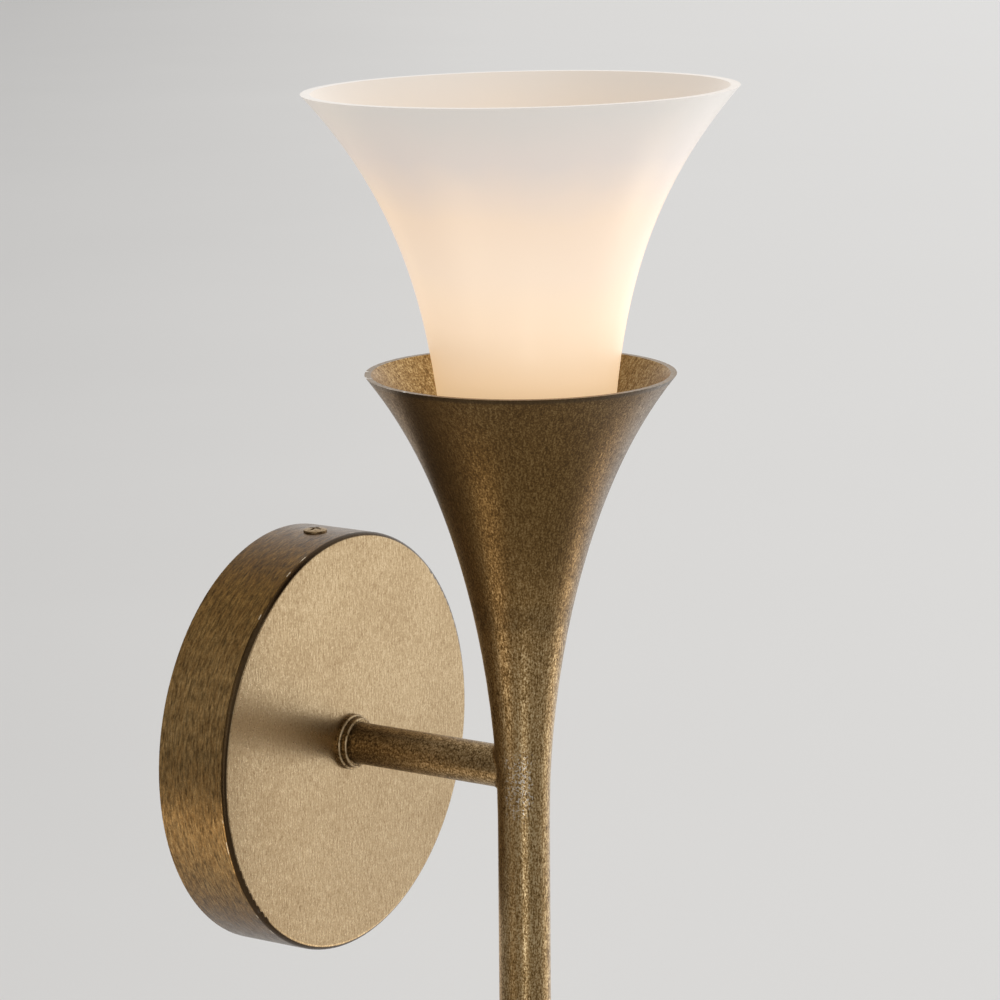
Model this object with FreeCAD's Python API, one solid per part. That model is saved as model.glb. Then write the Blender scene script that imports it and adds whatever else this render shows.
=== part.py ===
import FreeCAD, Part
import math
import os

# Torch wall sconce: a round canopy, a short arm and an upright stem that flares into a cup.
# A flared opal glass stands in the cup around a two-pin bulb.
# Millimetres. The wall is the plane y = 0, the room is towards -Y, +Z is up, and +X is to the
# right of someone who faces the wall. The origin is the centre of the canopy's back.

V = FreeCAD.Vector
X_AXIS = V(1, 0, 0)
Y_AXIS = V(0, 1, 0)
Z_AXIS = V(0, 0, 1)
ORIGIN = V(0, 0, 0)

# ---- fits ----
FIT = 0.05            # gap between fixed pieces that go into each other
LOOSE = 0.3           # gap between pieces that come apart by hand

# ---- canopy and what fastens it ----
CANOPY_D = 127.0
CANOPY_DEPTH = 23.8
CANOPY_WALL = 1.2
CANOPY_EDGE_R = 1.6   # rounding of the front edge
SIDE_SCREW_DEPTH = 12.0  # from the wall to the side screws
SIDE_SCREW_D = 3.9
SIDE_SCREW_REACH = 9.0   # from the canopy's rim to the screw's end
SIDE_HEAD_D = 7.1
SIDE_HEAD_RIM = 0.5      # straight edge of the head
SIDE_HEAD_DOME = 0.5
CROSS_SLOT_W = 0.9       # arms of the driver cross
CROSS_SLOT_L = 4.2
CROSS_SLOT_DEEP = 0.8

BAR_W = 20.0
BAR_T = 2.0
BAR_BEND_R = 3.0         # outside of the two bends
BAR_TAB_L = 18.0         # from the wall to the tab's end
BOX_SCREW_SPACING = 88.9
BOX_SLOT_L = 12.0
BOX_SLOT_W = 4.8
GROUND_SCREW_Z = 20.0
GROUND_SCREW_D = 3.9
GROUND_HEAD_D = 8.0
GROUND_HEAD_T = 2.2
GROUND_SLOT_W = 1.2

# ---- arm ----
ARM_D = 12.5
ARM_REACH = 85.5         # from the wall to the stem's axis
WELD_R = 1.6             # fillet of the weld between arm and stem
NIPPLE_D = 9.7
NIPPLE_BORE = 7.0
NIPPLE_IN_ARM = 16.0
NIPPLE_IN_CANOPY = 6.0   # stands behind the canopy's face
NUT_ACROSS = 14.0
NUT_T = 3.0
WASHER_D = 20.0
WASHER_T = 1.0
COLLAR_BACK_D = 16.8
COLLAR_BACK_L = 1.7
COLLAR_FRONT_D = 15.2
COLLAR_FRONT_L = 1.8
COLLAR_EDGE_R = 0.5

# ---- stem and cup ----
STEM_D = 15.3
STEM_DROP = 253.0        # from the arm's axis down to the stem's open end
SHELL_WALL = 1.4
FLARE_START = -14.7      # height at which the stem begins to widen
CUP_Z = 118.0            # height of the cup's rim
CUP_D = 89.7
LIP_SHARE = 0.175        # part of the widening that comes late, near the rim
LIP_POWER = 6.66
CUP_JOINT_Z = 48.0       # weld between stem and cup
PLUG_SPIGOT = 8.0
PLUG_DOME = 3.2

# ---- seat inside the cup ----
SEAT_Z = 86.0            # underside of the seat
SEAT_T = 1.5
SEAT_HOLE_D = 13.0
GASKET_T = 1.5
GASKET_COLLAR_T = 1.5
GASKET_COLLAR_H = 5.0

# ---- glass shade ----
GLASS_WALL = 2.1
FOOT_D = 47.4
SHADE_H = 109.8          # from the foot to the rim
SHADE_RIM_D = 124.7
SHADE_TAPER = 9.25       # radius gained by the even taper, the rest comes with the flare
SHADE_LEAN = 1.2         # degrees, towards the wall
SHADE_TILT = 0.25        # degrees, towards +X
SHADE_SHIFT = 2.5        # the foot stands this far off centre, towards the room

# ---- socket and bulb ----
SOCKET_D = 22.0
SOCKET_H = 22.0
RECESS_DEEP = 5.0
PIN_SPACING = 9.0
PIN_D = 1.2
PIN_L = 8.0
CONTACT_D = 3.0
CONTACT_BORE = 1.8
CONTACT_H = 10.0
SOCKET_SCREW_SPACING = 15.2
SOCKET_SCREW_D = 3.0
SOCKET_HEAD_D = 5.0
SOCKET_HEAD_T = 1.8
SOCKET_SLOT_W = 0.8
BASE_L = 12.6            # the bulb's base, along the pins
BASE_W = 8.0
BASE_H = 12.0
BULB_D = 16.0
BULB_GLASS_L = 44.0
BULB_GLASS_WALL = 1.0
BULB_OVERLAP = 4.0       # the glass reaches down over the base's neck by this much
CORE_W = 6.0
CORE_H = 30.0

# ---- leads ----
LEAD_D = 2.2
GROUND_WIRE_D = 1.8
LEAD_X = 1.7             # the two leads lie this far each side of the arm's axis
LEAD_DROP = 0.7          # and this far below it
GROUND_RISE = 1.9        # the ground wire lies above it
LEAD_BEND_R = 6.5
SPREAD_Z = 58.0          # height at which the leads begin to part, under the seat
CONNECTOR_D = 10.0
CONNECTOR_TIP_D = 6.5
CONNECTOR_L = 20.0
CONNECTOR_OUT = 17.0     # from the arm's axis to the connector's mouth
CONNECTOR_Y = -11.0

CANOPY_R = CANOPY_D / 2
CANOPY_IN_R = CANOPY_R - CANOPY_WALL
FACE_Y = -CANOPY_DEPTH
FACE_IN_Y = FACE_Y + CANOPY_WALL
ARM_BORE_R = NIPPLE_D / 2 + FIT
STEM_Y = -ARM_REACH
SEAT_TOP = SEAT_Z + SEAT_T
FOOT_Z = SEAT_TOP + GASKET_T + LOOSE
SOCKET_TOP = SEAT_TOP + SOCKET_H
RECESS_Z = SOCKET_TOP - RECESS_DEEP
BASE_Z = RECESS_Z + LOOSE
CURVE_STEPS = 10         # spans of each drawn curve


# ---- drawing helpers ----

def line(a, b):
    return Part.LineSegment(a, b).toShape()


def outline(points):
    """Straight edges from each point to the next."""
    return [line(a, b) for a, b in zip(points, points[1:])]


def curve(points):
    drawn = Part.BSplineCurve()
    drawn.interpolate(points)
    return drawn.toShape()


def arc(a, middle, b):
    return Part.Arc(a, middle, b).toShape()


def turned(edges, centre, axis):
    """The solid that the closed outline sweeps round an axis through centre."""
    face = Part.Face(Part.Wire(Part.__sortEdges__(edges)))
    solid = face.revolve(centre, axis, 360)
    if solid.Volume < 0:
        solid.reverse()
    return solid


def rod(start, axis, radius, length):
    return Part.makeCylinder(radius, length, start, axis)


def pipe(start, axis, outer_r, inner_r, length):
    return rod(start, axis, outer_r, length).cut(rod(start, axis, inner_r, length))


def block(centre, size):
    corner = V(centre.x - size[0] / 2, centre.y - size[1] / 2, centre.z - size[2] / 2)
    return Part.makeBox(size[0], size[1], size[2], corner)


def hexagon(start, axis_length, across):
    """A hexagonal bar along Y from start, with its flats this far apart."""
    corner_r = across / math.sqrt(3)
    turns = [math.radians(60 * k) for k in range(7)]
    points = [start + V(corner_r * math.cos(a), 0, corner_r * math.sin(a)) for a in turns]
    return Part.Face(Part.makePolygon(points)).extrude(V(0, axis_length, 0))


def spread(first, last, count):
    """count + 1 even values from first to last."""
    return [first + (last - first) * k / count for k in range(count + 1)]


def routed(points, radii, diameter):
    """A wire's solid: straight runs through the points, with a tangent arc at each inner one."""
    edges = []
    start = points[0]
    for before, corner, after, radius in zip(points, points[1:], points[2:], radii):
        into = (corner - before).normalize()
        out = (after - corner).normalize()
        turn = into.getAngle(out)
        back = radius * math.tan(turn / 2)
        enter = corner - into * back
        leave = corner + out * back
        inward = (out - into).normalize()
        middle = corner + inward * (radius / math.cos(turn / 2) - radius)
        edges.append(line(start, enter))
        edges.append(arc(enter, middle, leave))
        start = leave
    edges.append(line(start, points[-1]))
    path = Part.Wire(edges)
    section = Part.Wire(Part.Circle(points[0], points[1] - points[0], diameter / 2).toShape())
    solid = path.makePipeShell([section], True, False)
    full = path.Length * math.pi * diameter ** 2 / 4
    print("route", "radii", radii, "length %.1f" % path.Length, "volume ratio %.4f" % (solid.Volume / full))
    return solid


def phillips(centre):
    """The cross that the driver goes into, cut down from centre."""
    deep = V(0, 0, -CROSS_SLOT_DEEP / 2)
    across = block(centre + deep, (CROSS_SLOT_L, CROSS_SLOT_W, CROSS_SLOT_DEEP))
    along = block(centre + deep, (CROSS_SLOT_W, CROSS_SLOT_L, CROSS_SLOT_DEEP))
    return across.fuse(along)


def dome_arc(radius, height, z):
    """The arc of a spherical cap, from the axis at z + height down to its edge at z."""
    sphere_r = (radius ** 2 + height ** 2) / (2 * height)
    half = math.asin(min(1.0, radius / sphere_r)) / 2
    drop = sphere_r * (1 - math.cos(half))
    middle = V(sphere_r * math.sin(half), 0, z + height - drop)
    return arc(V(0, 0, z + height), middle, V(radius, 0, z))


# ---- the two flared profiles ----

def shell_radius(z):
    """Outer radius of the stem and cup at a height."""
    t = max(0.0, (z - FLARE_START) / (CUP_Z - FLARE_START))
    widening = (1 - LIP_SHARE) * t ** 2 + LIP_SHARE * t ** LIP_POWER
    return STEM_D / 2 + (CUP_D - STEM_D) / 2 * widening


def shade_radius(h):
    """Outer radius of the glass at a height above its foot."""
    t = h / SHADE_H
    flare = (SHADE_RIM_D - FOOT_D) / 2 - SHADE_TAPER
    return FOOT_D / 2 + SHADE_TAPER * t + flare * t ** 3


def slope(radius_at, z):
    step = 0.01
    return (radius_at(z + step) - radius_at(z - step)) / (2 * step)


def inner_radius(radius_at, z, wall):
    return radius_at(z) - wall * math.hypot(1, slope(radius_at, z))


def flared_wall(radius_at, low, high, wall):
    """Edges of a flared wall from low to high, cut level at both ends."""
    heights = spread(low, high, CURVE_STEPS)
    outer = [V(radius_at(z), 0, z) for z in heights]
    inner = [V(inner_radius(radius_at, z, wall), 0, z) for z in heights]
    return [curve(outer), line(outer[-1], inner[-1]), curve(inner), line(inner[0], outer[0])]


def at_stem(shape):
    """Moves a shape drawn about the Z axis to the stem's axis."""
    shape.translate(V(0, STEM_Y, 0))
    return shape


# ---- canopy ----

def canopy():
    edge_in_r = max(0.3, CANOPY_EDGE_R - CANOPY_WALL)
    nipple_r = NIPPLE_D / 2 + FIT
    diagonal = math.sqrt(0.5)

    def corner(radius, y, rounding):
        centre = V(radius - rounding, y + rounding, 0)
        return (
            V(radius, y + rounding, 0),
            centre + V(rounding * diagonal, -rounding * diagonal, 0),
            V(radius - rounding, y, 0),
        )

    outer = corner(CANOPY_R, FACE_Y, CANOPY_EDGE_R)
    inner = corner(CANOPY_IN_R, FACE_IN_Y, edge_in_r)
    edges = outline([V(CANOPY_IN_R, 0, 0), V(CANOPY_R, 0, 0), outer[0]])
    edges.append(arc(*outer))
    edges += outline([outer[2], V(nipple_r, FACE_Y, 0), V(nipple_r, FACE_IN_Y, 0), inner[2]])
    edges.append(arc(*inner))
    edges.append(line(inner[0], V(CANOPY_IN_R, 0, 0)))
    pan = turned(edges, ORIGIN, Y_AXIS)
    for side in (1, -1):
        start = V(0, -SIDE_SCREW_DEPTH, side * (CANOPY_R - 3 * CANOPY_WALL))
        hole = rod(start, V(0, 0, side), SIDE_SCREW_D / 2 + LOOSE, 6 * CANOPY_WALL)
        pan = pan.cut(hole)
    return pan


def tab_face():
    """How far out the bar's tabs may stand and still clear the round canopy inside."""
    return math.sqrt(CANOPY_IN_R ** 2 - (BAR_W / 2) ** 2) - LOOSE


def crossbar():
    """A strap on the wall with its two ends bent forward to take the side screws."""
    top = tab_face()
    bend = BAR_BEND_R
    inner = BAR_BEND_R - BAR_T
    turn = math.sqrt(0.5)
    x = -BAR_W / 2

    def corner(side, radius):
        """The bend's arc at this radius, from the strap's side to the tab's side."""
        centre = V(x, -bend, side * (top - bend))
        a = centre + V(0, radius, 0)
        b = centre + V(0, radius * turn, side * radius * turn)
        c = centre + V(0, 0, side * radius)
        return a, b, c

    low_out, low_in = corner(-1, bend), corner(-1, inner)
    high_out, high_in = corner(1, bend), corner(1, inner)
    edges = [
        line(low_out[0], high_out[0]),
        arc(*high_out),
        line(high_out[2], V(x, -BAR_TAB_L, top)),
        line(V(x, -BAR_TAB_L, top), V(x, -BAR_TAB_L, top - BAR_T)),
        line(V(x, -BAR_TAB_L, top - BAR_T), high_in[2]),
        arc(*high_in),
        line(high_in[0], low_in[0]),
        arc(*low_in),
        line(low_in[2], V(x, -BAR_TAB_L, BAR_T - top)),
        line(V(x, -BAR_TAB_L, BAR_T - top), V(x, -BAR_TAB_L, -top)),
        line(V(x, -BAR_TAB_L, -top), low_out[2]),
        arc(*low_out),
    ]
    face = Part.Face(Part.Wire(Part.__sortEdges__(edges)))
    strap = face.extrude(V(BAR_W, 0, 0))
    for side in (1, -1):
        middle = side * BOX_SCREW_SPACING / 2
        half = (BOX_SLOT_L - BOX_SLOT_W) / 2
        slot = block(V(0, -BAR_T / 2, middle), (BOX_SLOT_W, 2 * BAR_T, 2 * half))
        for end in (half, -half):
            slot = slot.fuse(rod(V(0, -1.5 * BAR_T, middle + end), Y_AXIS, BOX_SLOT_W / 2, 2 * BAR_T))
        strap = strap.cut(slot)
        start = V(0, -SIDE_SCREW_DEPTH, side * (top - 1.5 * BAR_T))
        strap = strap.cut(rod(start, V(0, 0, side), SIDE_SCREW_D / 2 + FIT, 2 * BAR_T))
    tapped = rod(V(0, -1.5 * BAR_T, GROUND_SCREW_Z), Y_AXIS, GROUND_SCREW_D / 2 + FIT, 2 * BAR_T)
    return strap.cut(tapped)


def side_screw():
    """One canopy screw, upright, with the underside of its head at the canopy's rim."""
    head_r = SIDE_HEAD_D / 2
    shank_r = SIDE_SCREW_D / 2
    edges = outline([
        V(0, 0, SIDE_HEAD_RIM + SIDE_HEAD_DOME),
        V(0, 0, -SIDE_SCREW_REACH),
        V(shank_r, 0, -SIDE_SCREW_REACH),
        V(shank_r, 0, 0),
        V(head_r, 0, 0),
        V(head_r, 0, SIDE_HEAD_RIM),
    ])
    edges.append(dome_arc(head_r, SIDE_HEAD_DOME, SIDE_HEAD_RIM))
    screw = turned(edges, ORIGIN, Z_AXIS)
    screw = screw.cut(phillips(V(0, 0, SIDE_HEAD_RIM + SIDE_HEAD_DOME)))
    screw.translate(V(0, -SIDE_SCREW_DEPTH, CANOPY_R))
    return screw


def side_screws():
    upper = side_screw()
    lower = side_screw()
    lower.rotate(ORIGIN, Y_AXIS, 180)
    return Part.makeCompound([upper, lower])


def ground_screw():
    """Clamps the ground wire, which passes under its head, to the crossbar."""
    under = -BAR_T - GROUND_WIRE_D
    head = rod(V(0, under - GROUND_HEAD_T, GROUND_SCREW_Z), Y_AXIS, GROUND_HEAD_D / 2, GROUND_HEAD_T)
    shank = rod(V(0, under, GROUND_SCREW_Z), Y_AXIS, GROUND_SCREW_D / 2, -under - LOOSE)
    across = (GROUND_HEAD_D, GROUND_HEAD_T, GROUND_SLOT_W)
    slot = block(V(0, under - GROUND_HEAD_T, GROUND_SCREW_Z), across)
    return head.fuse(shank).cut(slot).removeSplitter()


# ---- arm ----

def nipple():
    start = V(0, FACE_Y - NIPPLE_IN_ARM, 0)
    length = NIPPLE_IN_ARM + CANOPY_WALL + NIPPLE_IN_CANOPY
    return pipe(start, Y_AXIS, NIPPLE_D / 2, NIPPLE_BORE / 2, length)


def lock_washer():
    return pipe(V(0, FACE_IN_Y, 0), Y_AXIS, WASHER_D / 2, NIPPLE_D / 2 + FIT, WASHER_T)


def lock_nut():
    start = V(0, FACE_IN_Y + WASHER_T, 0)
    bore = rod(start, Y_AXIS, NIPPLE_D / 2 + FIT, NUT_T)
    return hexagon(start, NUT_T, NUT_ACROSS).cut(bore)


def arm_collar():
    """A turned ring of two steps at the foot of the arm, with rounded edges."""
    bore_r = ARM_D / 2 + FIT
    back_r = COLLAR_BACK_D / 2
    front_r = COLLAR_FRONT_D / 2
    step_y = FACE_Y - COLLAR_BACK_L
    end_y = step_y - COLLAR_FRONT_L
    rounding = min(COLLAR_EDGE_R, 0.8 * (back_r - front_r))
    diagonal = math.sqrt(0.5) * rounding

    def rounded(radius, y):
        centre = V(radius - rounding, y + rounding, 0)
        middle = centre + V(diagonal, -diagonal, 0)
        return arc(centre + V(rounding, 0, 0), middle, centre - V(0, rounding, 0))

    edges = outline([V(bore_r, FACE_Y, 0), V(back_r, FACE_Y, 0), V(back_r, step_y + rounding, 0)])
    edges.append(rounded(back_r, step_y))
    edges += outline([
        V(back_r - rounding, step_y, 0),
        V(front_r, step_y, 0),
        V(front_r, end_y + rounding, 0),
    ])
    edges.append(rounded(front_r, end_y))
    edges += outline([V(front_r - rounding, end_y, 0), V(bore_r, end_y, 0), V(bore_r, FACE_Y, 0)])
    return turned(edges, ORIGIN, Y_AXIS)


def stem_core():
    """The stem's outer form near the arm, solid."""
    low, high = -2 * ARM_D, 2 * ARM_D
    outer = [V(shell_radius(z), 0, z) for z in spread(low, high, CURVE_STEPS)]
    edges = [curve(outer), line(outer[-1], V(0, 0, high))]
    edges += outline([V(0, 0, high), V(0, 0, low), outer[0]])
    return at_stem(turned(edges, ORIGIN, Z_AXIS))


def arm():
    """A tube whose end is cut to the round of the stem, with the weld around it."""
    core = stem_core()
    bar = rod(V(0, STEM_Y, 0), Y_AXIS, ARM_D / 2, FACE_Y - STEM_Y)
    joined = bar.fuse(core)
    near = rod(V(0, STEM_Y, 0), Y_AXIS, ARM_D / 2 + FIT, shell_radius(ARM_D) + FIT).BoundBox
    seam = [edge for edge in joined.Edges if near.isInside(edge.BoundBox)]
    welded = joined.makeFillet(WELD_R, seam)
    bore = rod(V(0, STEM_Y, 0), Y_AXIS, ARM_BORE_R, FACE_Y - STEM_Y)
    return welded.cut(core).cut(bore)


# ---- stem and cup ----

def stem():
    """The tube from its open lower end up to the weld under the cup, with the arm's wire hole."""
    low = -STEM_DROP
    straight_r = STEM_D / 2 - SHELL_WALL
    outer = [V(shell_radius(z), 0, z) for z in spread(FLARE_START, CUP_JOINT_Z, CURVE_STEPS)]
    inner = [
        V(inner_radius(shell_radius, z, SHELL_WALL), 0, z)
        for z in spread(FLARE_START, CUP_JOINT_Z, CURVE_STEPS)
    ]
    edges = [
        line(V(STEM_D / 2, 0, low), outer[0]),
        curve(outer),
        line(outer[-1], inner[-1]),
        curve(inner),
        line(inner[0], V(straight_r, 0, low)),
        line(V(straight_r, 0, low), V(STEM_D / 2, 0, low)),
    ]
    tube = at_stem(turned(edges, ORIGIN, Z_AXIS))
    return tube.cut(rod(V(0, STEM_Y, 0), Y_AXIS, ARM_BORE_R, 2 * STEM_D))


def stem_plug():
    """A domed plug that closes the stem's lower end."""
    spigot_r = STEM_D / 2 - SHELL_WALL - FIT
    edges = outline([
        V(STEM_D / 2, 0, 0),
        V(spigot_r, 0, 0),
        V(spigot_r, 0, -PLUG_SPIGOT),
        V(0, 0, -PLUG_SPIGOT),
        V(0, 0, PLUG_DOME),
    ])
    edges.append(dome_arc(STEM_D / 2, PLUG_DOME, 0))
    plug = turned(edges, ORIGIN, Z_AXIS)
    plug.rotate(ORIGIN, X_AXIS, 180)
    plug.translate(V(0, 0, -STEM_DROP))
    return at_stem(plug)


def trumpet_cup():
    return at_stem(turned(flared_wall(shell_radius, CUP_JOINT_Z, CUP_Z, SHELL_WALL), ORIGIN, Z_AXIS))


def shade_seat():
    """A disc that is pressed into the cup. Its edge follows the cup's inside."""
    low_r = inner_radius(shell_radius, SEAT_Z, SHELL_WALL) - FIT
    high_r = inner_radius(shell_radius, SEAT_TOP, SHELL_WALL) - FIT
    hole_r = SEAT_HOLE_D / 2
    edges = outline([
        V(hole_r, 0, SEAT_Z),
        V(low_r, 0, SEAT_Z),
        V(high_r, 0, SEAT_TOP),
        V(hole_r, 0, SEAT_TOP),
        V(hole_r, 0, SEAT_Z),
    ])
    disc = turned(edges, ORIGIN, Z_AXIS)
    for y in (SOCKET_SCREW_SPACING / 2, -SOCKET_SCREW_SPACING / 2):
        disc = disc.cut(rod(V(0, y, SEAT_Z - SEAT_T), Z_AXIS, SOCKET_SCREW_D / 2 + FIT, 3 * SEAT_T))
    return at_stem(disc)


def shade_gasket():
    """A soft ring under the glass, with a collar that stands up inside the foot."""
    brim_r = inner_radius(shell_radius, SEAT_TOP, SHELL_WALL) - LOOSE
    collar_r = inner_radius(shade_radius, 0, GLASS_WALL) - SHADE_SHIFT - LOOSE
    bore_r = collar_r - GASKET_COLLAR_T
    edges = outline([
        V(bore_r, 0, SEAT_TOP),
        V(brim_r, 0, SEAT_TOP),
        V(brim_r, 0, SEAT_TOP + GASKET_T),
        V(collar_r, 0, SEAT_TOP + GASKET_T),
        V(collar_r, 0, SEAT_TOP + GASKET_COLLAR_H),
        V(bore_r, 0, SEAT_TOP + GASKET_COLLAR_H),
        V(bore_r, 0, SEAT_TOP),
    ])
    return at_stem(turned(edges, ORIGIN, Z_AXIS))


def glass_shade():
    """The flared glass, open at both ends. It leans a little and stands a little off centre."""
    shade = turned(flared_wall(shade_radius, 0, SHADE_H, GLASS_WALL), ORIGIN, Z_AXIS)
    shade.rotate(ORIGIN, X_AXIS, -SHADE_LEAN)
    shade.rotate(ORIGIN, Y_AXIS, SHADE_TILT)
    lowest = FOOT_D / 2 * math.sin(math.radians(math.hypot(SHADE_LEAN, SHADE_TILT)))
    shade.translate(V(0, -SHADE_SHIFT, FOOT_Z + lowest))
    return at_stem(shade)


# ---- socket and bulb ----

def lamp_socket():
    body = rod(V(0, 0, SEAT_TOP), Z_AXIS, SOCKET_D / 2, SOCKET_H)
    recess = (BASE_L + 2 * LOOSE, BASE_W + 2 * LOOSE, RECESS_DEEP)
    body = body.cut(block(V(0, 0, SOCKET_TOP - RECESS_DEEP / 2), recess))
    for x in (PIN_SPACING / 2, -PIN_SPACING / 2):
        body = body.cut(rod(V(x, 0, SEAT_TOP), Z_AXIS, CONTACT_D / 2 + FIT, SOCKET_H))
    for y in (SOCKET_SCREW_SPACING / 2, -SOCKET_SCREW_SPACING / 2):
        body = body.cut(rod(V(0, y, SEAT_TOP), Z_AXIS, SOCKET_SCREW_D / 2 + FIT, SOCKET_H))
        sunk = V(0, y, SOCKET_TOP - 2 * RECESS_DEEP)
        open_side = V(0, math.copysign(SOCKET_D, y), 0)
        seat = rod(sunk, Z_AXIS, SOCKET_HEAD_D / 2 + FIT, 2 * RECESS_DEEP)
        channel = block(
            sunk + open_side / 2 + V(0, 0, RECESS_DEEP),
            (SOCKET_HEAD_D + 2 * FIT, SOCKET_D, 2 * RECESS_DEEP),
        )
        body = body.cut(seat.fuse(channel))
    return at_stem(body)


def socket_contacts():
    clips = [
        pipe(V(x, STEM_Y, SEAT_TOP + LEAD_D), Z_AXIS, CONTACT_D / 2, CONTACT_BORE / 2, CONTACT_H)
        for x in (PIN_SPACING / 2, -PIN_SPACING / 2)
    ]
    return Part.makeCompound(clips)


def socket_screws():
    """Two screws through the socket's flanks into the seat."""
    under_head = SOCKET_TOP - 2 * RECESS_DEEP
    screws = []
    for y in (SOCKET_SCREW_SPACING / 2, -SOCKET_SCREW_SPACING / 2):
        place = V(0, STEM_Y + y, under_head)
        head = rod(place, Z_AXIS, SOCKET_HEAD_D / 2, SOCKET_HEAD_T)
        shank = rod(V(0, STEM_Y + y, SEAT_Z), Z_AXIS, SOCKET_SCREW_D / 2, under_head - SEAT_Z)
        across = (SOCKET_HEAD_D, SOCKET_SLOT_W, SOCKET_HEAD_T)
        slot = block(place + V(0, 0, SOCKET_HEAD_T), across)
        screws.append(head.fuse(shank).cut(slot).removeSplitter())
    return Part.makeCompound(screws)


def bulb_base():
    """The flat plug of the bulb with a round neck that the glass closes over."""
    plug_h = BASE_H - BULB_OVERLAP
    plug = block(V(0, 0, BASE_Z + plug_h / 2), (BASE_L, BASE_W, plug_h))
    neck_r = BULB_D / 2 - BULB_GLASS_WALL - FIT
    neck = rod(V(0, 0, BASE_Z + plug_h), Z_AXIS, neck_r, BULB_OVERLAP)
    base = plug.fuse(neck)
    for x in (PIN_SPACING / 2, -PIN_SPACING / 2):
        base = base.cut(rod(V(x, 0, BASE_Z), Z_AXIS, PIN_D / 2, PIN_L / 2))
    return at_stem(base.removeSplitter())


def bulb_pins():
    pins = [
        rod(V(x, STEM_Y, BASE_Z - PIN_L), Z_AXIS, PIN_D / 2, 1.5 * PIN_L)
        for x in (PIN_SPACING / 2, -PIN_SPACING / 2)
    ]
    return Part.makeCompound(pins)


def bulb_envelope():
    """A round-ended glass tube over the base's neck."""
    low = BASE_Z + BASE_H - BULB_OVERLAP
    outer_r = BULB_D / 2
    inner_r = outer_r - BULB_GLASS_WALL
    shoulder = low + BULB_GLASS_L - outer_r
    diagonal = math.sqrt(0.5)

    def quarter(r):
        return V(0, 0, shoulder + r), V(r * diagonal, 0, shoulder + r * diagonal), V(r, 0, shoulder)

    outer = quarter(outer_r)
    inner = quarter(inner_r)
    edges = [
        arc(*outer),
        line(outer[2], V(outer_r, 0, low)),
        line(V(outer_r, 0, low), V(inner_r, 0, low)),
        line(V(inner_r, 0, low), inner[2]),
        arc(*inner),
        line(inner[0], outer[0]),
    ]
    return at_stem(turned(edges, ORIGIN, Z_AXIS))


def bulb_core():
    """The square post inside the bulb that carries its light source."""
    low = BASE_Z + BASE_H
    return at_stem(block(V(0, 0, low + CORE_H / 2), (CORE_W, CORE_W, CORE_H)))


# ---- leads ----

def supply_lead(side):
    """From a connector in the canopy, through the arm and up the stem, to a socket contact."""
    x = side * LEAD_X
    contact_x = side * PIN_SPACING / 2
    upright_y = STEM_Y - LEAD_DROP
    points = [
        V(side * (CONNECTOR_OUT + CONNECTOR_L / 4), CONNECTOR_Y, -LEAD_DROP),
        V(x, CONNECTOR_Y, -LEAD_DROP),
        V(x, upright_y, -LEAD_DROP),
        V(x, upright_y, SPREAD_Z),
        V(contact_x, STEM_Y, SEAT_Z - 3 * LEAD_D),
        V(contact_x, STEM_Y, SEAT_TOP + LEAD_D),
    ]
    radii = [LEAD_BEND_R, LEAD_BEND_R, 4 * LEAD_BEND_R, 4 * LEAD_BEND_R]
    return routed(points, radii, LEAD_D)


def ground_wire():
    """From under the ground screw, through the arm and up the stem, to the seat's underside."""
    beside = GROUND_SCREW_D / 2 + GROUND_WIRE_D / 2 + FIT
    on_bar = -BAR_T - GROUND_WIRE_D / 2
    upright_y = STEM_Y + GROUND_RISE
    landing_y = STEM_Y + SEAT_HOLE_D / 2 + 2 * GROUND_WIRE_D
    points = [
        V(beside, on_bar, GROUND_SCREW_Z + GROUND_SCREW_D),
        V(beside, on_bar, GROUND_SCREW_Z - GROUND_HEAD_D),
        V(0, CONNECTOR_Y, GROUND_RISE),
        V(0, upright_y, GROUND_RISE),
        V(0, upright_y, SPREAD_Z),
        V(0, landing_y, SEAT_Z - 4 * GROUND_WIRE_D),
        V(0, landing_y, SEAT_Z),
    ]
    radii = [LEAD_BEND_R, LEAD_BEND_R, LEAD_BEND_R, 2 * LEAD_BEND_R, LEAD_BEND_R]
    return routed(points, radii, GROUND_WIRE_D)


def wire_connectors():
    """Two twist-on caps, each over the end of a lead."""
    caps = []
    for side in (1, -1):
        mouth = V(side * CONNECTOR_OUT, CONNECTOR_Y, -LEAD_DROP)
        along = V(side, 0, 0)
        cap = Part.makeCone(CONNECTOR_D / 2, CONNECTOR_TIP_D / 2, CONNECTOR_L, mouth, along)
        caps.append(cap.cut(rod(mouth, along, LEAD_D / 2 + FIT, CONNECTOR_L / 4)))
    return Part.makeCompound(caps)


NODES = {
    "canopy": canopy,
    "crossbar": crossbar,
    "side_screws": side_screws,
    "ground_screw": ground_screw,
    "nipple": nipple,
    "lock_washer": lock_washer,
    "lock_nut": lock_nut,
    "arm_collar": arm_collar,
    "arm": arm,
    "stem": stem,
    "stem_plug": stem_plug,
    "trumpet_cup": trumpet_cup,
    "shade_seat": shade_seat,
    "shade_gasket": shade_gasket,
    "glass_shade": glass_shade,
    "lamp_socket": lamp_socket,
    "socket_contacts": socket_contacts,
    "socket_screws": socket_screws,
    "bulb_base": bulb_base,
    "bulb_pins": bulb_pins,
    "bulb_envelope": bulb_envelope,
    "bulb_core": bulb_core,
    "lead_line": lambda: supply_lead(-1),
    "lead_neutral": lambda: supply_lead(1),
    "ground_wire": ground_wire,
    "wire_connectors": wire_connectors,
}

os.makedirs("parts", exist_ok=True)
for name, make in NODES.items():
    shape = make()
    shape.exportStep("parts/" + name + ".step")
    print(name, "solids", len(shape.Solids), "volume %.1f" % shape.Volume, "valid", shape.isValid())
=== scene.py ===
import math

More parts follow.
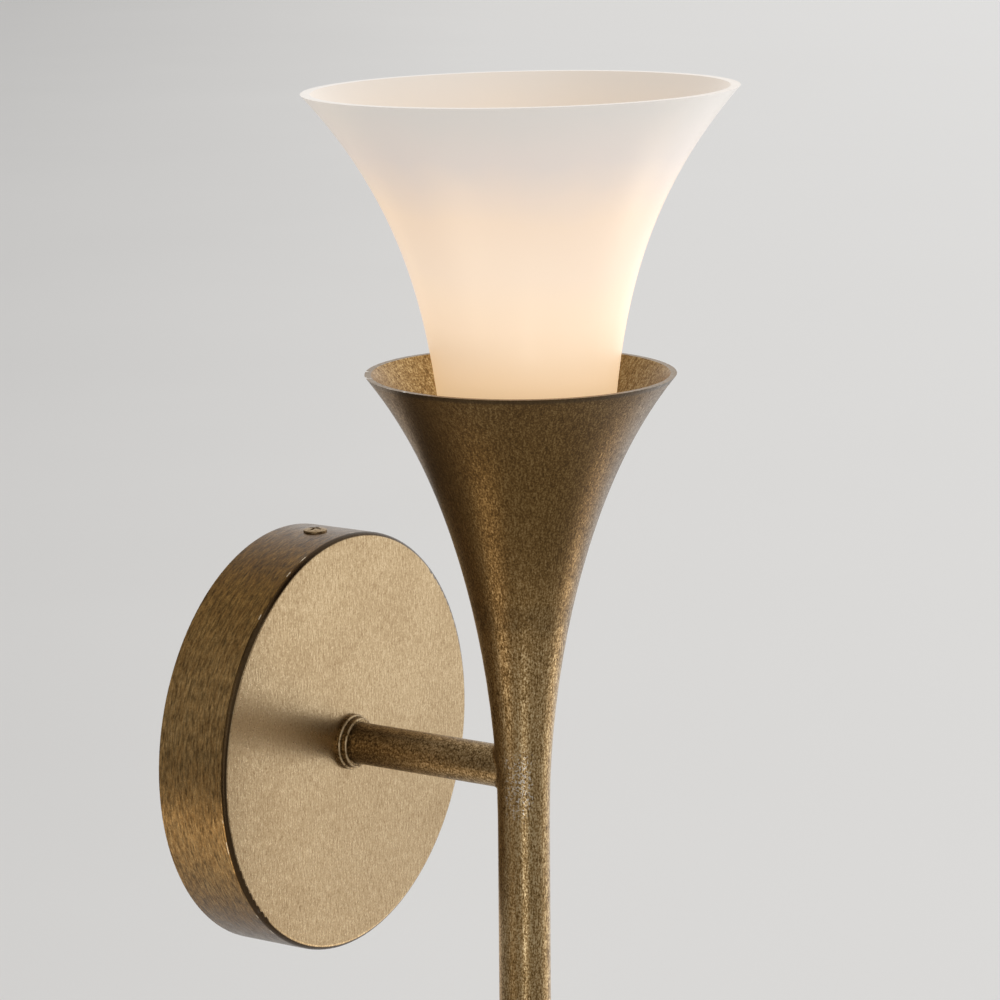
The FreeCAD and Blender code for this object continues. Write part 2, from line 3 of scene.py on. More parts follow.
import bpy
from mathutils import Matrix, Vector

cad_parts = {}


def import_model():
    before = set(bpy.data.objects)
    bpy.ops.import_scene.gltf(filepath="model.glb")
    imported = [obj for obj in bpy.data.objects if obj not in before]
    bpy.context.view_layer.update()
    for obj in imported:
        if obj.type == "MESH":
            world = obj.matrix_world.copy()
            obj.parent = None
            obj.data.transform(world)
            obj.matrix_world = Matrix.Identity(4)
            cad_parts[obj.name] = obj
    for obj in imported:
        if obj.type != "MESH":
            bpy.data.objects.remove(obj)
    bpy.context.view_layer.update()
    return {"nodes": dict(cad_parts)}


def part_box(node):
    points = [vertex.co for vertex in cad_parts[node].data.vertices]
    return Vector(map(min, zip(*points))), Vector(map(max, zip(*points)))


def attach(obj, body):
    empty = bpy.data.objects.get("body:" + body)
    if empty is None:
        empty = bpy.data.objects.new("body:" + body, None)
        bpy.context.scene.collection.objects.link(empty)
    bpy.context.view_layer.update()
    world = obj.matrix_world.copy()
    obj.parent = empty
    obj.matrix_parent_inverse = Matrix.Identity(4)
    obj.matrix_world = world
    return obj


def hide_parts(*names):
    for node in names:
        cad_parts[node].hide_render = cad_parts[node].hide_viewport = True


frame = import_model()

nodes = frame["nodes"]

# ---- places on the light, in metres ----

AXIS_Y = -0.0855                        # the stem's axis, this far from the wall
CUP_RIM_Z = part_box("trumpet_cup")[1][2]
FACE_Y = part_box("canopy")[0][1]         # front face of the canopy
WELD_Z = 0.048                          # the cup is joined to the stem here
GLINT_Z = -0.003                       # painted glints on the stem here, beside the arm
GLASS_GLOW = (0.089, 0.109)             # foot and height of the shade's glow
BULB_GLOW = (0.1128, 0.044)             # foot and height of the bulb's glow

WHITE = (1.0, 1.0, 1.0)


def grey(level):
    return (level, level, level)


# ---- camera, at the photograph's angle ----

CAMERA_PLACE = (-0.943498, -0.689691, 0.311448)
CAMERA_TURN = (-57.047, 11.634, -0.474)     # azimuth, elevation and roll, in degrees
CAMERA_LENS = 142.507


def camera():
    az, el, roll = (math.radians(a) for a in CAMERA_TURN)
    back = Vector((math.sin(az) * math.cos(el), -math.cos(az) * math.cos(el), math.sin(el)))
    side = Vector((math.cos(az), math.sin(az), 0))
    up = back.cross(side)
    right = side * math.cos(roll) + up * math.sin(roll)
    up = up * math.cos(roll) - side * math.sin(roll)
    data = bpy.data.cameras.new("camera")
    data.sensor_width = 36
    data.lens = CAMERA_LENS
    data.clip_start = 0.01
    data.clip_end = 100
    made = bpy.data.objects.new("camera", data)
    bpy.context.scene.collection.objects.link(made)
    turn = Matrix((right, up, back)).transposed().to_4x4()
    made.matrix_world = Matrix.Translation(CAMERA_PLACE) @ turn
    bpy.context.scene.camera = made
    bpy.context.scene.view_settings.view_transform = "Standard"


# ---- shader graphs ----

SOCKETS = {
    "colour": "Base Color", "metal": "Metallic", "rough": "Roughness", "bump": "Normal",
    "coat": "Coat Weight", "coat_rough": "Coat Roughness", "glow": "Emission Color",
    "glow_power": "Emission Strength", "specular": "Specular IOR Level",
    "under": "Subsurface Weight", "under_scale": "Subsurface Scale",
}


class Graph:
    """Builds a material's nodes. Values may be numbers, tuples or sockets."""

    def __init__(self, name):
        self.mat = bpy.data.materials.new(name)
        self.mat.use_nodes = True
        self.tree = self.mat.node_tree
        self.shader = self.tree.nodes["Principled BSDF"]
        coords = self.tree.nodes.new("ShaderNodeTexCoord")
        self.place = coords.outputs["Object"]
        self.normal = coords.outputs["Normal"]

    def put(self, socket, value):
        if isinstance(value, bpy.types.NodeSocket):
            self.tree.links.new(value, socket)
        else:
            socket.default_value = value

    def math(self, op, a, b=0.0, c=0.0, clamp=False):
        n = self.tree.nodes.new("ShaderNodeMath")
        n.operation = op
        n.use_clamp = clamp
        for socket, value in zip(n.inputs, (a, b, c)):
            self.put(socket, value)
        return n.outputs[0]

    def plus(self, a, b, clamp=False):
        return self.math("ADD", a, b, clamp=clamp)

    def minus(self, a, b):
        return self.math("SUBTRACT", a, b)

    def times(self, a, b):
        return self.math("MULTIPLY", a, b)

    def sway(self, value, gain, base, clamp=False):
        """base, raised or lowered by gain times how far value is from one half."""
        return self.math("MULTIPLY_ADD", self.minus(value, 0.5), gain, base, clamp=clamp)

    def parts(self, vector):
        n = self.tree.nodes.new("ShaderNodeSeparateXYZ")
        self.put(n.inputs[0], vector)
        return n.outputs

    def vector(self, x, y, z):
        n = self.tree.nodes.new("ShaderNodeCombineXYZ")
        for socket, value in zip(n.inputs, (x, y, z)):
            self.put(socket, value)
        return n.outputs[0]

    def scaled(self, vector, factors):
        n = self.tree.nodes.new("ShaderNodeVectorMath")
        n.operation = "MULTIPLY"
        self.put(n.inputs[0], vector)
        self.put(n.inputs[1], factors)
        return n.outputs[0]

    def noise(self, vector, scale, detail=3.0, rough=0.55):
        n = self.tree.nodes.new("ShaderNodeTexNoise")
        self.put(n.inputs["Vector"], vector)
        n.inputs["Scale"].default_value = scale
        n.inputs["Detail"].default_value = detail
        n.inputs["Roughness"].default_value = rough
        return n.outputs["Fac"]

    def span(self, value, low, high, to_low=0.0, to_high=1.0):
        """value from low to high, mapped smoothly to to_low to to_high."""
        n = self.tree.nodes.new("ShaderNodeMapRange")
        n.interpolation_type = "SMOOTHSTEP"
        for socket, v in zip(n.inputs, (value, low, high, to_low, to_high)):
            self.put(socket, v)
        return n.outputs[0]

    def near(self, value, middle, half):
        """1 where value is at middle, 0 from half away on."""
        return self.span(self.math("ABSOLUTE", self.minus(value, middle)), half, 0.3 * half)

    def ramp(self, value, stops):
        n = self.tree.nodes.new("ShaderNodeValToRGB")
        self.put(n.inputs[0], value)
        marks = n.color_ramp.elements
        while len(marks) < len(stops):
            marks.new(0.5)
        for mark, (at, colour) in zip(marks, stops):
            mark.position = at
            mark.color = (*colour, 1)
        return n.outputs[0]

    def mix(self, factor, a, b, blend="MIX", kind="RGBA"):
        n = self.tree.nodes.new("ShaderNodeMix")
        n.data_type = kind
        n.blend_type = blend
        self.put(n.inputs["Factor"], factor)
        for name, value in (("A", a), ("B", b)):
            socket = [s for s in n.inputs if s.name == name and s.type == kind][0]
            self.put(socket, (*value, 1) if isinstance(value, tuple) else value)
        return [s for s in n.outputs if s.type == kind][0]

    def tint(self, a, b):
        """One colour seen through the other."""
        return self.mix(1.0, a, b, "MULTIPLY")

    def bump(self, height, depth, strength):
        n = self.tree.nodes.new("ShaderNodeBump")
        self.put(n.inputs["Height"], height)
        n.inputs["Distance"].default_value = depth
        n.inputs["Strength"].default_value = strength
        return n.outputs[0]

    def set(self, **values):
        for key, value in values.items():
            if key in ("colour", "glow") and isinstance(value, tuple):
                value = (*value, 1)
            self.put(self.shader.inputs[SOCKETS[key]], value)
        return self.mat


def around_stem(g):
    """A turned piece's coordinates: the direction away from the stem's axis, the height, and
    the distance from the axis."""
    x, y, z = g.parts(g.place)
    off = g.minus(y, AXIS_Y)
    r = g.math("SQRT", g.plus(g.times(x, x), g.times(off, off)))
    r = g.math("MAXIMUM", r, 0.0001)
    return g.math("DIVIDE", x, r), g.math("DIVIDE", off, r), z, r


def outwards(g, x, y):
    """How far the surface faces away from the stem's axis, where x and y is the direction from it."""
    nx, ny = g.parts(g.normal)[:2]
    return g.plus(g.times(nx, x), g.times(ny, y))


# ---- aged brass ----

def brass(name, grain, tones, fleck=1.0, brush=1.0, recolour=None, rough=0.42, coat=0.04):
    """Aged brass: a brown patina in fine speckles and brushed streaks over a lighter metal.
    grain gives coordinates drawn out along the brushing. The recolouring function, if given,
    changes the colour in places, with real marks and with painted light and shade."""
    g = Graph(name)
    fine = g.noise(g.scaled(g.place, (1.0, 1.0, 0.7)), 2100, 1.5, 0.6)
    streak = g.noise(grain(g), 1300, 2.0, 0.6)
    cloud = g.noise(g.place, 42, 3.0, 0.6)
    blend = g.sway(fine, 1.9 * fleck, 0.5)
    blend = g.sway(streak, 1.3 * brush, blend)
    blend = g.sway(cloud, 0.4, blend)
    dark, middle, light = tones
    colour = g.ramp(blend, [(0.08, dark), (0.5, middle), (0.92, light)])
    rough = g.sway(blend, -0.22, rough, clamp=True)
    if recolour:
        colour = recolour(g, colour)
    bump = g.bump(g.plus(fine, g.times(streak, 0.7)), 0.00005, 0.5)
    return g.set(colour=colour, metal=1.0, rough=rough, bump=bump, coat=coat, coat_rough=0.28)


def stem_grain(g):
    """Streaks that run up the stem and spread with the cup's flare."""
    x, y, z, r = around_stem(g)
    k = g.times(g.math("SQRT", r), 0.2)
    return g.vector(g.times(x, k), g.times(y, k), g.times(z, 0.26))


def arm_grain(g):
    """Streaks along the arm."""
    x, y, z = g.parts(g.place)
    return g.vector(x, z, g.times(y, 0.6))


def plate_grain(g):
    """Brushed upright on the face, and along the rim on the side."""
    x, y, z = g.parts(g.place)
    face = g.span(g.math("ABSOLUTE", g.parts(g.normal)[1]), 0.6, 0.8)
    upright = g.vector(x, y, g.times(z, 0.28))
    along = g.vector(g.times(x, 0.15), g.times(z, 0.15), y)
    return g.mix(face, along, upright, kind="VECTOR")


def stem_marks_and_shading(g, colour):
    """Darker up the cup as painted shade, with calmer grain, a smudge at its weld, painted glints
    beside the arm, a lighter inside as painted light, and a pale lip over a painted dark line."""
    x, y, z, r = around_stem(g)

    # painted shade: darker up the cup; the grain is calmer there too
    height = g.sway(g.noise(g.place, 60, 2.0), 0.012, z)
    shade = g.ramp(g.span(height, 0.015, 0.090), [
        (0.0, WHITE), (0.45, (0.69, 0.64, 0.55)), (1.0, (0.36, 0.31, 0.22)),
    ])
    colour = g.mix(g.span(height, 0.030, 0.075, 0.0, 0.35), colour, (0.280, 0.182, 0.080))
    colour = g.tint(colour, shade)
    weld = g.times(g.near(height, WELD_Z, 0.006), g.noise(g.place, 300, 2.0))
    colour = g.mix(g.times(weld, 0.55), colour, (0.045, 0.026, 0.010))

    # painted highlight: bright glint specks on the side away from the wall, level with the arm
    facing = g.minus(g.times(x, -0.93), g.times(y, 0.37))
    glint_zone = g.times(g.near(z, GLINT_Z, 0.014), g.span(facing, 0.74, 0.98))
    glint_flecks = g.math("MULTIPLY_ADD", glint_zone, 0.10, g.noise(g.place, 1400, 2.0))
    glint_flecks = g.times(g.span(glint_flecks, 0.62, 0.72), g.span(glint_zone, 0.05, 0.6))
    colour = g.mix(g.times(glint_flecks, 0.75), colour, (0.58, 0.53, 0.46))

    # painted light: the inside is lighter, which also undoes the painted shade up the cup there
    outward = outwards(g, x, y)
    inside = g.span(outward, 0.1, -0.1)
    colour = g.mix(inside, colour, g.tint(colour, (3.2, 3.4, 3.9)))

    # painted shade: a dark line under the lip; then the lip, pale with dark nicks
    nz = g.parts(g.normal)[2]
    under = g.times(g.span(z, CUP_RIM_Z - 0.0019, CUP_RIM_Z - 0.0009), g.span(nz, 0.5, 0.2))
    under = g.times(under, g.span(outward, -0.1, 0.1))
    colour = g.mix(g.times(under, 0.75), colour, (0.040, 0.024, 0.010))
    nicks = g.span(g.noise(g.place, 260, 3.0, 0.6), 0.64, 0.69)
    rim = g.mix(nicks, (0.22, 0.15, 0.08), (0.80, 0.77, 0.72))
    lip = g.times(g.span(nz, 0.90, 0.98), g.span(z, CUP_RIM_Z - 0.001, CUP_RIM_Z - 0.0005))
    return g.mix(lip, colour, rim)


def arm_shading_and_scuffs(g, colour):
    """Painted shade darker towards the plate, and the collar's two edges brightened, as scuffed
    metal with a painted highlight.
    """
    x, y, z = g.parts(g.place)
    out = g.minus(FACE_Y, y)
    # painted shade: darker near the plate, and a little darker again at the stem end
    shade = g.ramp(g.span(out, 0.003, 0.050), [
        (0.0, (0.62, 0.60, 0.55)), (0.65, WHITE), (1.0, (0.90, 0.89, 0.87)),
    ])
    colour = g.tint(colour, shade)
    r = g.math("SQRT", g.plus(g.times(x, x), g.times(z, z)))
    # the collar's two edges made bright: scuffed metal with a painted highlight on it
    back = g.times(g.near(out, 0.0016, 0.0005), g.span(r, 0.0078, 0.0081))
    front = g.times(g.near(out, 0.0034, 0.0005), g.span(r, 0.0070, 0.0073))
    patches = g.span(g.noise(g.place, 500, 2.0), 0.3, 0.55)
    bright_edges = g.times(g.plus(back, front, clamp=True), patches)
    return g.mix(g.times(bright_edges, 0.70), colour, (0.50, 0.38, 0.23))


def plate_marks_and_shading(g, colour):
    """A lighter face, a darker scratched side whose darkness is painted shade, painted light
    growing towards the top, a painted dark line in the rounded front edge, and light nicks there
    that are partly painted highlight."""
    x, y, z = g.parts(g.place)
    turn = g.math("ABSOLUTE", g.parts(g.normal)[1])
    # painted shade: the rim side is darker, most at its top and bottom, with scratches in it
    side = g.span(turn, 0.6, 0.3)
    ends = g.span(g.math("ABSOLUTE", z), 0.015, 0.060)
    patina = g.mix(ends, (0.94, 0.78, 0.54), (0.265, 0.185, 0.07))
    scratch = g.noise(g.vector(g.times(x, 0.2), g.times(z, 0.2), y), 1700, 2.0, 0.6)
    patina = g.tint(patina, g.ramp(scratch, [(0.30, grey(0.45)), (0.70, grey(1.55))]))
    colour = g.mix(side, colour, g.tint(colour, patina))
    # painted light: the plate is lighter towards the top
    painted_top_light = g.ramp(g.span(z, -0.075, 0.075), [(0.0, grey(0.845)), (1.0, grey(1.20))])
    colour = g.tint(colour, painted_top_light)
    # painted shade: a dark line along the rounded front edge
    edge_shade = g.times(g.span(turn, 0.08, 0.35), g.span(turn, 0.985, 0.90))
    colour = g.mix(g.times(edge_shade, 0.95), colour, (0.030, 0.016, 0.006))
    # light nicks along the edge, partly painted highlight
    nicks = g.times(g.near(turn, 0.10, 0.09), g.span(g.noise(g.place, 130, 3.0), 0.56, 0.62))
    return g.mix(g.times(nicks, 0.8), colour, (0.70, 0.60, 0.45))


# ---- the other materials ----

def metal(name, colour, rough):
    """A plain metal with fine grain and broad, faint stains."""
    g = Graph(name)
    fine = g.noise(g.place, 900, 3.0)
    broad = g.noise(g.place, 90, 2.0)
    dark = tuple(c * 0.72 for c in colour)
    light = tuple(min(1.0, c * 1.12) for c in colour)
    blend = g.math("MULTIPLY_ADD", fine, 0.6, g.times(broad, 0.4))
    tone = g.ramp(blend, [(0.3, dark), (0.5, colour), (0.7, light)])
    r = g.math("MULTIPLY_ADD", broad, 0.3, rough - 0.15)
    return g.set(colour=tone, metal=1.0, rough=r, bump=g.bump(fine, 0.00004, 0.25))


def plain(name, colour, rough, grain, depth, vary, **more):
    """A moulded or fired material. vary is how far its colour goes either way."""
    g = Graph(name)
    fine = g.noise(g.place, grain, 3.0)
    broad = g.noise(g.place, 70, 2.0)
    low = tuple(c * (1 - vary) for c in colour)
    high = tuple(min(1.0, c * (1 + vary)) for c in colour)
    blend = g.math("MULTIPLY_ADD", fine, 0.4, g.times(broad, 0.6))
    tone = g.ramp(blend, [(0.3, low), (0.5, colour), (0.7, high)])
    r = g.math("MULTIPLY_ADD", fine, 0.16, rough - 0.08)
    return g.set(colour=tone, rough=r, bump=g.bump(fine, depth, 0.5), **more)


def share_of(g, height, span):
    """How far up a glow height lies, from 0 at its foot to 1."""
    foot, tall = span
    return g.math("DIVIDE", g.minus(height, foot), tall, clamp=True)


def opal():
    """Lit opal glass: its glow is painted light from the bulb, warm low down, near the bulb, and
    greyer towards the rim; its inside is painted darker.
    """
    g = Graph("opal_glass")
    x, y, z, r = around_stem(g)
    outside = g.span(outwards(g, x, y), -0.1, 0.1)
    height = g.sway(g.noise(g.place, 30, 2.0), 0.012, z)
    t = share_of(g, height, GLASS_GLOW)
    outer = g.ramp(t, [
        (0.0, (0.47, 0.32, 0.17)), (0.13, (0.50, 0.35, 0.18)), (0.27, (0.54, 0.36, 0.19)),
        (0.43, (0.55, 0.38, 0.235)), (0.56, (0.455, 0.32, 0.215)), (0.71, (0.40, 0.26, 0.155)),
        (0.87, (0.21, 0.165, 0.15)), (1.0, (0.15, 0.14, 0.13)),
    ])
    inner = g.ramp(t, [
        (0.0, (0.68, 0.46, 0.24)), (0.6, (0.47, 0.31, 0.18)), (0.85, (0.33, 0.25, 0.175)),
        (1.0, (0.275, 0.225, 0.175)),
    ])
    glow = g.mix(outside, inner, outer)
    body = g.ramp(t, [
        (0.0, (0.66, 0.56, 0.44)), (0.5, (0.70, 0.63, 0.54)), (1.0, (0.66, 0.635, 0.61)),
    ])
    # painted shade: the inside of the glass is darker
    body = g.mix(outside, g.tint(body, (0.75, 0.74, 0.73)), body)
    rough = g.math("MULTIPLY_ADD", g.noise(g.place, 500, 2.0), 0.08, 0.30)
    bump = g.bump(g.noise(g.place, 60, 2.0), 0.0002, 0.15)
    return g.set(colour=body, rough=rough, glow=glow, glow_power=1.0, specular=0.4, bump=bump)


def bulb_glass():
    """Frosted glass, lit from its post."""
    g = Graph("frosted_glass")
    z = g.parts(g.place)[2]
    glow = g.ramp(share_of(g, z, BULB_GLOW), [
        (0.0, (0.55, 0.33, 0.14)), (0.3, (1.0, 0.74, 0.44)), (0.8, (1.0, 0.80, 0.54)),
        (1.0, (0.8, 0.58, 0.34)),
    ])
    rough = g.math("MULTIPLY_ADD", g.noise(g.place, 900, 2.0), 0.12, 0.42)
    bump = g.bump(g.noise(g.place, 1200, 2.0), 0.00003, 0.4)
    return g.set(colour=(0.86, 0.80, 0.70), rough=rough, glow=glow, glow_power=2.2, bump=bump)


# ---- stage and light ----

FLOOR_Z = -1.60
FLOOR_HALF = 60.0
PICTURE_RIGHT = (0.544, 0.839)      # how far x and -y run to the right in the picture


def stage():
    """A pale floor with painted shade: lighter to the right of the picture, and greyer to the
    light's left and in front of it."""
    data = bpy.data.meshes.new("floor")
    s, z = FLOOR_HALF, FLOOR_Z
    data.from_pydata([(-s, -s, z), (s, -s, z), (s, s, z), (-s, s, z)], [], [(0, 1, 2, 3)])
    floor = bpy.data.objects.new("floor", data)
    bpy.context.scene.collection.objects.link(floor)
    g = Graph("floor_painted_shade")
    x, y = g.parts(g.place)[:2]
    across = g.minus(g.times(x, PICTURE_RIGHT[0]), g.times(y, PICTURE_RIGHT[1]))
    cloud = g.times(g.minus(g.noise(g.place, 0.8, 2.0), 0.5), 0.4)
    floor_shading = g.ramp(g.span(g.plus(across, cloud), -5.0, 5.0), [
        (0.0, (0.565, 0.56, 0.555)), (0.5, (0.85, 0.842, 0.832)), (1.0, (0.95, 0.948, 0.945)),
    ])
    # painted shade: greyer in front of the light and to its left
    front = g.ramp(g.span(y, -0.5, -5.0), [(0.0, WHITE), (1.0, grey(0.55))])
    floor_shading = g.tint(floor_shading, front)
    left = g.ramp(g.span(x, -0.5, -4.0), [(0.0, WHITE), (1.0, (0.55, 0.54, 0.53))])
    floor_shading = g.tint(floor_shading, left)
    data.materials.append(g.set(colour=floor_shading, rough=0.8, specular=0.2))


SKY_TOWARDS = (0.88, -0.30, 0.37)       # the world is brightest in this direction
SKY_LEVELS = [(0.0, 0.26), (0.3, 0.42), (0.6, 0.75), (0.85, 1.05), (1.0, 1.2)]
SKY_SEEN = (0.72, 0.717, 0.71, 1)       # what the camera sees of it


def world():
    """A studio that is brighter to the right and above, and an even pale grey to the camera."""
    made = bpy.data.worlds.new("studio")
    bpy.context.scene.world = made
    made.use_nodes = True
    tree = made.node_tree
    coords = tree.nodes.new("ShaderNodeTexCoord")
    dot = tree.nodes.new("ShaderNodeVectorMath")
    dot.operation = "DOT_PRODUCT"
    tree.links.new(coords.outputs["Generated"], dot.inputs[0])
    dot.inputs[1].default_value = SKY_TOWARDS
    half = tree.nodes.new("ShaderNodeMapRange")
    tree.links.new(dot.outputs["Value"], half.inputs[0])
    half.inputs[1].default_value = -1
    half.inputs[2].default_value = 1
    ramp = tree.nodes.new("ShaderNodeValToRGB")
    tree.links.new(half.outputs[0], ramp.inputs[0])
    marks = ramp.color_ramp.elements
    while len(marks) < len(SKY_LEVELS):
        marks.new(0.5)
    for mark, (at, level) in zip(marks, SKY_LEVELS):
        mark.position = at
        mark.color = (level, level * 0.995, level * 0.985, 1)
    path = tree.nodes.new("ShaderNodeLightPath")
    pick = tree.nodes.new("ShaderNodeMix")
    pick.data_type = "RGBA"
    tree.links.new(path.outputs["Is Camera Ray"], pick.inputs["Factor"])
    lit, seen = [s for s in pick.inputs if s.type == "RGBA"]
    tree.links.new(ramp.outputs[0], lit)
    seen.default_value = SKY_SEEN
    out = [s for s in pick.outputs if s.type == "RGBA"][0]
    background = tree.nodes["Background"]
    tree.links.new(out, background.inputs["Color"])
    background.inputs["Strength"].default_value = 1.0


# name, place, point that it is aimed at, size, watts, colour
LAMPS = [
    ("key", (1.7, -1.20, -0.60), (0, -0.08, 0), (1.5, 1.5), 5.8, WHITE),
    ("side", (2.0, -0.10, -0.55), (0, -0.08, -0.2), (0.9, 1.6), 3.2, WHITE),
    ("edge", (1.25, -0.82, -0.95), (0, -0.08, 0.07), (0.4, 0.5), 1.6, (1.0, 0.84, 0.60)),
    ("top", (0.05, -0.35, 1.9), (0, -0.08, 0), (1.4, 1.4), 6, WHITE),
    ("window", (-1.43, -1.13, -0.30), (0, -0.08, 0), (0.42, 1.2), 3.8, WHITE),
    ("low", (-0.80, 0.30, -0.78), (0, -0.08, 0.07), (0.5, 0.7), 1.5, (1.0, 0.84, 0.64)),
    ("glow", (0.40, 0.82, -0.42), (0, -0.08, 0.08), (0.5, 0.5), 0.4, (1.0, 0.70, 0.36)),
    ("fill", (-1.5, -0.6, 0.55), (0, -0.08, 0.1), (1.0, 1.2), 4, WHITE),
]


def lights():
    for name, place, aim, size, watts, colour in LAMPS:
        data = bpy.data.lights.new(name, "AREA")
        data.shape = "RECTANGLE"
        data.size, data.size_y = size
        data.energy = watts
        data.color = colour
        lamp = bpy.data.objects.new(name, data)
        bpy.context.scene.collection.objects.link(lamp)
        lamp.location = place
        lamp.visible_camera = False
        lamp.rotation_mode = "QUATERNION"
        lamp.rotation_quaternion = (Vector(aim) - Vector(place)).to_track_quat("-Z", "Y")


# ---- modelled pieces: what the solids leave plain ----

def around(count):
    return [2 * math.pi * k / count for k in range(count)]


def lofted(name, loops, material, body):
    """A closed skin through loops of rings. Each ring is joined to the next, the last to the first."""
    count = len(loops[0][0])
    points = []
    faces = []
    for rings in loops:
        start = len(points)
        for ring in rings:
            points += ring
        for i in range(len(rings)):
            low = start + i * count
            high = start + (i + 1) % len(rings) * count
            for k in range(count):
                after = (k + 1) % count
                faces.append((low + k, low + after, high + after, high + k))
    data = bpy.data.meshes.new(name)
    data.from_pydata(points, [], faces)
    data.validate()
    data.materials.append(material)
    data.shade_smooth()
    piece = bpy.data.objects.new(name, data)
    bpy.context.scene.collection.objects.link(piece)
    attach(piece, body)
    return piece


THREAD_PITCH = 0.001
THREAD_DEPTH = 0.00045
THREAD_STEPS = 8            # rings in one turn of the thread
NIPPLE_SIDES = 48
NIPPLE_BORE_R = 0.0035


def threaded_nipple(material):
    """The nipple with its helical thread cut in, and its bore."""
    low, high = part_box("nipple")
    outer = (high[0] - low[0]) / 2
    turns = around(NIPPLE_SIDES)
    count = round((high[1] - low[1]) / THREAD_PITCH * THREAD_STEPS)

    def ring(y, radius):
        return [(radius(a) * math.sin(a), y, radius(a) * math.cos(a)) for a in turns]

    def cut(y):
        def radius(angle):
            phase = (y / THREAD_PITCH - angle / (2 * math.pi)) % 1.0
            end = min(y - low[1], high[1] - y) / THREAD_PITCH
            return outer - THREAD_DEPTH * max(abs(2 * phase - 1), 1 - min(1.0, end))
        return radius

    heights = [low[1] + (high[1] - low[1]) * i / count for i in range(count + 1)]
    rings = [ring(y, cut(y)) for y in heights]
    bore = [ring(y, lambda a: NIPPLE_BORE_R) for y in reversed(heights[::THREAD_STEPS])]
    piece = lofted("nipple_thread", [rings + bore], material, "root")
    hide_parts("nipple")


CAP_MOUTH_X = 0.017         # the connectors' open ends, this far from the middle
CAP_SIDES = 96
CAP_SKIRT = 0.0030          # smooth band at the open end
CAP_EDGE = 0.0004
CAP_FLUTES = 12
CAP_FLUTE_DEEP = 0.00045
CAP_NOSE = 0.0028           # length of the round tip
CAP_TIP_WALL = 0.0015
CAP_HOLE_R = 0.00115
CAP_HOLE_DEEP = 0.005
POINT_R = 0.00001           # a ring this small closes an end


def fluted_caps(material):
    """The two twist-on connectors: a smooth skirt, fluted flanks, a round tip and the leads' hole."""
    low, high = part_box("wire_connectors")
    axis_y = (low[1] + high[1]) / 2
    axis_z = (low[2] + high[2]) / 2
    mouth_r = (high[1] - low[1]) / 2
    length = high[0] - CAP_MOUTH_X
    tip_r = 0.65 * mouth_r
    flank = CAP_SKIRT + CAP_EDGE
    turns = around(CAP_SIDES)
    loops = []
    for side in (1, -1):
        def ring(along, radius, deep=0.0):
            points = []
            for a in turns:
                r = radius - deep * (0.5 + 0.5 * math.cos(CAP_FLUTES * a))
                x = side * (CAP_MOUTH_X + along)
                points.append((x, axis_y + r * math.cos(a), axis_z + r * math.sin(a)))
            return points

        rings = [ring(0.0, mouth_r - CAP_EDGE), ring(CAP_EDGE, mouth_r)]
        rings.append(ring(CAP_SKIRT, mouth_r * 0.985))
        for i in range(13):
            t = i / 12
            along = flank + (length - flank - CAP_NOSE) * t
            base = mouth_r + (tip_r - mouth_r) * along / length
            deep = CAP_FLUTE_DEEP * math.sin(math.pi * min(1.0, 4 * t) / 2)
            rings.append(ring(along, base, deep))
        for i in range(1, 7):
            a = math.pi / 2 * i / 6
            along = length - CAP_NOSE + CAP_NOSE * math.sin(a)
            deep = CAP_FLUTE_DEEP * math.cos(a) * 0.6 * (i < 6)
            rings.append(ring(along, max(POINT_R, tip_r * math.cos(a)), deep))
        rings.append(ring(length - CAP_TIP_WALL, POINT_R))
        rings += [ring(CAP_HOLE_DEEP, POINT_R), ring(CAP_HOLE_DEEP, CAP_HOLE_R)]
        rings.append(ring(0.0, CAP_HOLE_R))
        loops.append(rings)
    piece = lofted("connector_caps", loops, material, "root")
    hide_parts("wire_connectors")


# ---- dressing ----

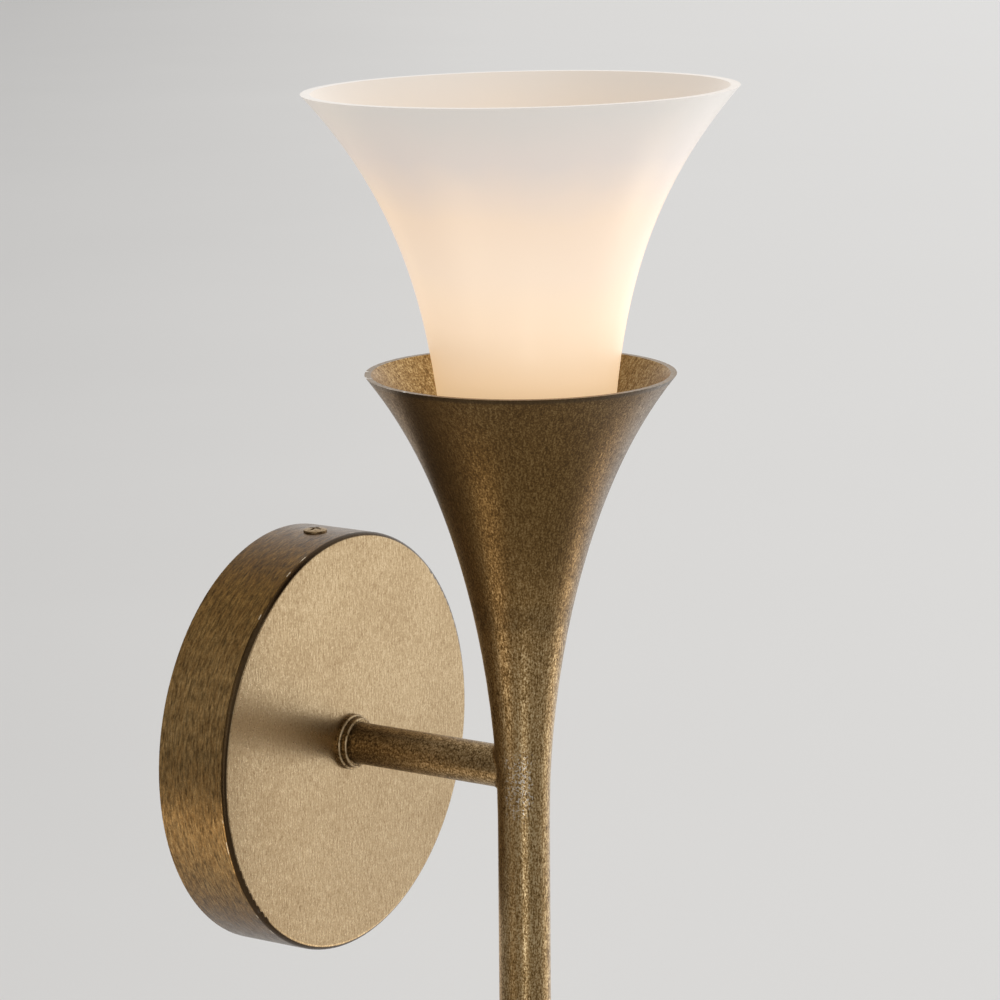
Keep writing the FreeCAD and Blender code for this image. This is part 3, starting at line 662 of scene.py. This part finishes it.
# dark patina, middle and bare metal of each brass
STEM_TONES = (0.095, 0.052, 0.015), (0.280, 0.178, 0.073), (0.57, 0.43, 0.24)
ARM_TONES = (0.092, 0.053, 0.019), (0.270, 0.175, 0.075), (0.54, 0.39, 0.215)
PLATE_TONES = (0.225, 0.142, 0.066), (0.368, 0.266, 0.147), (0.53, 0.41, 0.255)
SCREW_TONES = (0.16, 0.10, 0.045), (0.34, 0.235, 0.12), (0.52, 0.40, 0.24)


def dress(material, *names):
    for name in names:
        for slot in nodes[name].material_slots:
            slot.material = material


def dress_all():
    stem = brass("brass_stem", stem_grain, STEM_TONES, recolour=stem_marks_and_shading, rough=0.38)
    dress(stem, "stem", "stem_plug", "trumpet_cup", "shade_seat")
    dress(brass("brass_arm", arm_grain, ARM_TONES, recolour=arm_shading_and_scuffs), "arm", "arm_collar")
    plate = brass("brass_plate", plate_grain, PLATE_TONES, 0.55, 0.8, plate_marks_and_shading, 0.31, 0.0)
    dress(plate, "canopy")
    dress(brass("brass_screw", arm_grain, SCREW_TONES, 0.5, 0.5), "side_screws")

    zinc = metal("zinc_steel", (0.62, 0.62, 0.60), 0.34)
    dress(zinc, "crossbar", "lock_washer", "lock_nut", "socket_screws", "bulb_pins")
    threaded_nipple(zinc)
    dress(metal("green_screw", (0.06, 0.30, 0.10), 0.36), "ground_screw")
    dress(metal("contact_brass", (0.80, 0.62, 0.30), 0.28), "socket_contacts")
    dress(metal("copper", (0.80, 0.42, 0.25), 0.32), "ground_wire")

    dress(opal(), "glass_shade")
    dress(bulb_glass(), "bulb_envelope")
    silicone = plain("silicone", (0.78, 0.77, 0.74), 0.55, 500, 0.00003, 0.05,
                     under=0.3, under_scale=0.002)
    dress(silicone, "shade_gasket")
    dress(plain("ceramic", (0.84, 0.81, 0.75), 0.42, 600, 0.00006, 0.06), "lamp_socket")
    dress(plain("bulb_plastic", (0.86, 0.85, 0.82), 0.38, 900, 0.00002, 0.04), "bulb_base")
    dress(plain("bulb_core", (0.90, 0.78, 0.42), 0.5, 1000, 0.00003, 0.15), "bulb_core")
    dress(plain("black_insulation", (0.020, 0.020, 0.021), 0.42, 500, 0.00004, 0.15), "lead_line")
    dress(plain("white_insulation", (0.78, 0.78, 0.75), 0.42, 500, 0.00004, 0.05), "lead_neutral")
    fluted_caps(plain("connector_plastic", (0.80, 0.28, 0.04), 0.40, 800, 0.00005, 0.08))


camera()
stage()
world()
lights()
dress_all()
